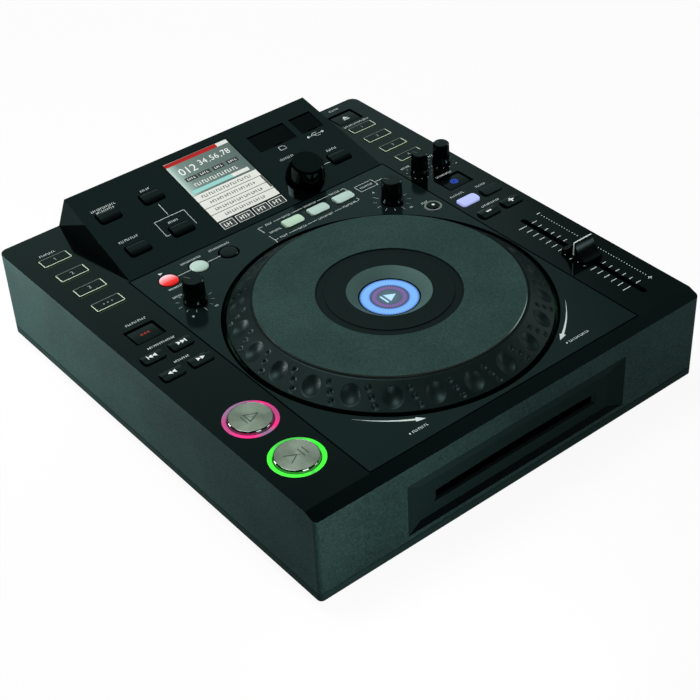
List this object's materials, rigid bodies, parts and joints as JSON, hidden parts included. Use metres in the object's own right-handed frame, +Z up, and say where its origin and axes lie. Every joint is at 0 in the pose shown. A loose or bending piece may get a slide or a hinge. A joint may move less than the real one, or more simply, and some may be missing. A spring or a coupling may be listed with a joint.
{
  "type": "disc player",
  "caption": "Tabletop DJ disc player with a slot-in drive, a touch jog wheel, a sloped display pod, transport buttons, knobs and a pitch slider.",
  "frame": {"origin": "on the table, under the middle of the case, at the underside of the feet", "axes": "+X to the user's right, +Y to the rear of the player, +Z up"},
  "size_m": [0.305, 0.341, 0.0922],
  "materials": {
    "case_plastic": "fine sand texture, dark grey-green",
    "tray_steel": "satin black paint",
    "bezel_plastic": "black, half gloss",
    "drive_steel": "plain sheet",
    "rubber": "matt black",
    "hub_plastic": "moulded black",
    "wheel_plastic": "fine matt, dark grey",
    "disc_metal": "anodised grey-green, polished rim",
    "display_glass": "clear window over a lit display",
    "board": "circuit board with its parts",
    "socket_plastic": "moulded black",
    "screw_steel": "plated",
    "key_plastic": "satin black",
    "pale_keys": "pale grey-green, satin",
    "rubber_key": "soft, matt black",
    "lit_key": "translucent, lit lavender",
    "button_metal": "spun face, polished bevel",
    "shaft_metal": "turned",
    "knob_plastic": "satin black",
    "knob_gloss": "polished black"
  },
  "bodies": {
    "player": {"top_case": "case_plastic", "deck_panel": "case_plastic", "base_tray": "tray_steel", "slot_bezel": "bezel_plastic", "drive_housing": "drive_steel", "jog_hub": "hub_plastic", "jog_display": "display_glass", "screen": "display_glass", "control_board": "board", "power_supply": "board", "rear_sockets": "socket_plastic", "feet": "rubber", "case_screws": "screw_steel"},
    "hot_cue_1": {"hot_cue_1": "key_plastic"},
    "hot_cue_2": {"hot_cue_2": "key_plastic"},
    "hot_cue_3": {"hot_cue_3": "key_plastic"},
    "memory_key": {"memory_key": "key_plastic"},
    "direction_key": {"direction_key": "key_plastic"},
    "skip_back_key": {"skip_back_key": "key_plastic"},
    "skip_forward_key": {"skip_forward_key": "key_plastic"},
    "search_back_key": {"search_back_key": "key_plastic"},
    "search_forward_key": {"search_forward_key": "key_plastic"},
    "cue_button": {"cue_button": "button_metal"},
    "play_button": {"play_button": "button_metal"},
    "eject_key": {"eject_key": "key_plastic"},
    "source_1": {"source_1": "key_plastic"},
    "source_2": {"source_2": "key_plastic"},
    "source_3": {"source_3": "key_plastic"},
    "source_4": {"source_4": "key_plastic"},
    "effect_1": {"effect_1": "pale_keys"},
    "effect_2": {"effect_2": "pale_keys"},
    "effect_3": {"effect_3": "pale_keys"},
    "loop_in": {"loop_in": "key_plastic"},
    "loop_out": {"loop_out": "key_plastic"},
    "loop_exit": {"loop_exit": "key_plastic"},
    "jog_mode_key": {"jog_mode_key": "key_plastic"},
    "range_key": {"range_key": "rubber_key"},
    "tempo_lock_key": {"tempo_lock_key": "lit_key"},
    "bend_plus": {"bend_plus": "key_plastic"},
    "bend_minus": {"bend_minus": "key_plastic"},
    "tap_button": {"tap_button": "key_plastic"},
    "text_key": {"text_key": "key_plastic"},
    "time_key": {"time_key": "key_plastic"},
    "tempo_key": {"tempo_key": "key_plastic"},
    "lock_key": {"lock_key": "key_plastic"},
    "back_key": {"back_key": "key_plastic"},
    "jog_wheel": {"jog_ring": "wheel_plastic", "jog_disc": "disc_metal"},
    "jog_adjust_knob": {"jog_adjust_knob": "knob_plastic"},
    "effect_knob": {"effect_knob": "knob_plastic"},
    "start_knob": {"start_knob": "knob_plastic"},
    "stop_knob": {"stop_knob": "knob_plastic"},
    "select_knob": {"select_knob": "knob_gloss"},
    "select_shaft": {"select_shaft": "shaft_metal"},
    "pitch_slider": {"pitch_slider": "knob_plastic"},
    "card_cover": {"card_cover": "case_plastic"},
    "usb_cover": {"usb_cover": "case_plastic"},
    "power_switch": {"power_switch": "socket_plastic"},
    "load_roller": {"load_roller": "rubber"},
    "turntable": {"turntable": "hub_plastic"}
  },
  "joints": [
    {"name": "hot_cue_1_press", "type": "slide", "parent": "player", "child": "hot_cue_1", "axis": [0, 0, 1], "range_m": [-0.0012, 0], "stiffness_N_per_m": 1000},
    {"name": "hot_cue_2_press", "type": "slide", "parent": "player", "child": "hot_cue_2", "axis": [0, 0, 1], "range_m": [-0.0012, 0], "stiffness_N_per_m": 1000},
    {"name": "hot_cue_3_press", "type": "slide", "parent": "player", "child": "hot_cue_3", "axis": [0, 0, 1], "range_m": [-0.0012, 0], "stiffness_N_per_m": 1000},
    {"name": "memory_key_press", "type": "slide", "parent": "player", "child": "memory_key", "axis": [0, 0, 1], "range_m": [-0.0012, 0], "stiffness_N_per_m": 1000},
    {"name": "direction_key_press", "type": "slide", "parent": "player", "child": "direction_key", "axis": [0, 0, 1], "range_m": [-0.0012, 0], "stiffness_N_per_m": 1000},
    {"name": "skip_back_key_press", "type": "slide", "parent": "player", "child": "skip_back_key", "axis": [0, 0, 1], "range_m": [-0.0012, 0], "stiffness_N_per_m": 1000},
    {"name": "skip_forward_key_press", "type": "slide", "parent": "player", "child": "skip_forward_key", "axis": [0, 0, 1], "range_m": [-0.0012, 0], "stiffness_N_per_m": 1000},
    {"name": "search_back_key_press", "type": "slide", "parent": "player", "child": "search_back_key", "axis": [0, 0, 1], "range_m": [-0.0012, 0], "stiffness_N_per_m": 1000},
    {"name": "search_forward_key_press", "type": "slide", "parent": "player", "child": "search_forward_key", "axis": [0, 0, 1], "range_m": [-0.0012, 0], "stiffness_N_per_m": 1000},
    {"name": "cue_button_press", "type": "slide", "parent": "player", "child": "cue_button", "axis": [0, 0, 1], "range_m": [-0.0012, 0], "stiffness_N_per_m": 1500},
    {"name": "play_button_press", "type": "slide", "parent": "player", "child": "play_button", "axis": [0, 0, 1], "range_m": [-0.0012, 0], "stiffness_N_per_m": 1500},
    {"name": "eject_key_press", "type": "slide", "parent": "player", "child": "eject_key", "axis": [0, 0, 1], "range_m": [-0.0012, 0], "stiffness_N_per_m": 1000},
    {"name": "source_1_press", "type": "slide", "parent": "player", "child": "source_1", "axis": [0, 0, 1], "range_m": [-0.0012, 0], "stiffness_N_per_m": 1000},
    {"name": "source_2_press", "type": "slide", "parent": "player", "child": "source_2", "axis": [0, 0, 1], "range_m": [-0.0012, 0], "stiffness_N_per_m": 1000},
    {"name": "source_3_press", "type": "slide", "parent": "player", "child": "source_3", "axis": [0, 0, 1], "range_m": [-0.0012, 0], "stiffness_N_per_m": 1000},
    {"name": "source_4_press", "type": "slide", "parent": "player", "child": "source_4", "axis": [0, 0, 1], "range_m": [-0.0012, 0], "stiffness_N_per_m": 1000},
    {"name": "effect_1_press", "type": "slide", "parent": "player", "child": "effect_1", "axis": [0, 0, 1], "range_m": [-0.0012, 0], "stiffness_N_per_m": 1000},
    {"name": "effect_2_press", "type": "slide", "parent": "player", "child": "effect_2", "axis": [0, 0, 1], "range_m": [-0.0012, 0], "stiffness_N_per_m": 1000},
    {"name": "effect_3_press", "type": "slide", "parent": "player", "child": "effect_3", "axis": [0, 0, 1], "range_m": [-0.0012, 0], "stiffness_N_per_m": 1000},
    {"name": "loop_in_press", "type": "slide", "parent": "player", "child": "loop_in", "axis": [0, 0, 1], "range_m": [-0.0012, 0], "stiffness_N_per_m": 1000},
    {"name": "loop_out_press", "type": "slide", "parent": "player", "child": "loop_out", "axis": [0, 0, 1], "range_m": [-0.0012, 0], "stiffness_N_per_m": 1000},
    {"name": "loop_exit_press", "type": "slide", "parent": "player", "child": "loop_exit", "axis": [0, 0, 1], "range_m": [-0.0012, 0], "stiffness_N_per_m": 1000},
    {"name": "jog_mode_key_press", "type": "slide", "parent": "player", "child": "jog_mode_key", "axis": [0, 0, 1], "range_m": [-0.0012, 0], "stiffness_N_per_m": 1000},
    {"name": "range_key_press", "type": "slide", "parent": "player", "child": "range_key", "axis": [0, 0, 1], "range_m": [-0.0012, 0], "stiffness_N_per_m": 1000},
    {"name": "tempo_lock_key_press", "type": "slide", "parent": "player", "child": "tempo_lock_key", "axis": [0, 0, 1], "range_m": [-0.0012, 0], "stiffness_N_per_m": 1000},
    {"name": "bend_plus_press", "type": "slide", "parent": "player", "child": "bend_plus", "axis": [0, 0, 1], "range_m": [-0.0012, 0], "stiffness_N_per_m": 1000},
    {"name": "bend_minus_press", "type": "slide", "parent": "player", "child": "bend_minus", "axis": [0, 0, 1], "range_m": [-0.0012, 0], "stiffness_N_per_m": 1000},
    {"name": "tap_button_press", "type": "slide", "parent": "player", "child": "tap_button", "axis": [0, 0, 1], "range_m": [-0.0012, 0], "stiffness_N_per_m": 1000},
    {"name": "text_key_press", "type": "slide", "parent": "player", "child": "text_key", "axis": [0, -0.2521, 0.9677], "range_m": [-0.0012, 0], "stiffness_N_per_m": 1000},
    {"name": "time_key_press", "type": "slide", "parent": "player", "child": "time_key", "axis": [0, -0.2521, 0.9677], "range_m": [-0.0012, 0], "stiffness_N_per_m": 1000},
    {"name": "tempo_key_press", "type": "slide", "parent": "player", "child": "tempo_key", "axis": [0, -0.2521, 0.9677], "range_m": [-0.0012, 0], "stiffness_N_per_m": 1000},
    {"name": "lock_key_press", "type": "slide", "parent": "player", "child": "lock_key", "axis": [0, -0.2521, 0.9677], "range_m": [-0.0012, 0], "stiffness_N_per_m": 1000},
    {"name": "back_key_press", "type": "slide", "parent": "player", "child": "back_key", "axis": [0, -0.2521, 0.9677], "range_m": [-0.0012, 0], "stiffness_N_per_m": 1000},
    {"name": "jog_spin", "type": "hinge", "parent": "player", "child": "jog_wheel", "pos_m": [0, -0.0524, 0.0705], "axis": [0, 0, 1], "continuous": true},
    {"name": "jog_adjust_knob_turn", "type": "hinge", "parent": "player", "child": "jog_adjust_knob", "pos_m": [-0.0862, 0.0359, 0.0705], "axis": [0, 0, 1], "range_deg": [-150, 150]},
    {"name": "effect_knob_turn", "type": "hinge", "parent": "player", "child": "effect_knob", "pos_m": [0.0802, 0.0401, 0.0705], "axis": [0, 0, 1], "range_deg": [-150, 150]},
    {"name": "start_knob_turn", "type": "hinge", "parent": "player", "child": "start_knob", "pos_m": [0.1185, 0.0554, 0.0705], "axis": [0, 0, 1], "range_deg": [-150, 150]},
    {"name": "stop_knob_turn", "type": "hinge", "parent": "player", "child": "stop_knob", "pos_m": [0.1387, 0.0554, 0.0705], "axis": [0, 0, 1], "range_deg": [-150, 150]},
    {"name": "select_push", "type": "slide", "parent": "player", "child": "select_shaft", "axis": [0, -0.2521, 0.9677], "range_m": [-0.0012, 0], "stiffness_N_per_m": 2000},
    {"name": "select_turn", "type": "hinge", "parent": "select_shaft", "child": "select_knob", "pos_m": [0.0516, 0.0994, 0.07516], "axis": [0, -0.2521, 0.9677], "continuous": true},
    {"name": "pitch_slide", "type": "slide", "parent": "player", "child": "pitch_slider", "axis": [0, 1, 0], "range_m": [-0.05, 0.05]},
    {"name": "card_cover_swing", "type": "hinge", "parent": "player", "child": "card_cover", "pos_m": [0.0557, 0.14952, 0.08667], "axis": [-1, 0, 0], "range_deg": [0, 95]},
    {"name": "usb_cover_swing", "type": "hinge", "parent": "player", "child": "usb_cover", "pos_m": [0.0863, 0.14952, 0.08667], "axis": [-1, 0, 0], "range_deg": [0, 95]},
    {"name": "power_switch_rock", "type": "hinge", "parent": "player", "child": "power_switch", "pos_m": [-0.06, 0.161, 0.031], "axis": [-1, 0, 0], "range_deg": [0, 16]},
    {"name": "load_roller_spin", "type": "hinge", "parent": "player", "child": "load_roller", "pos_m": [0, -0.151, 0.0249], "axis": [1, 0, 0], "continuous": true},
    {"name": "turntable_spin", "type": "hinge", "parent": "player", "child": "turntable", "pos_m": [0, -0.086, 0.0289], "axis": [0, 0, 1], "continuous": true}
  ]
}
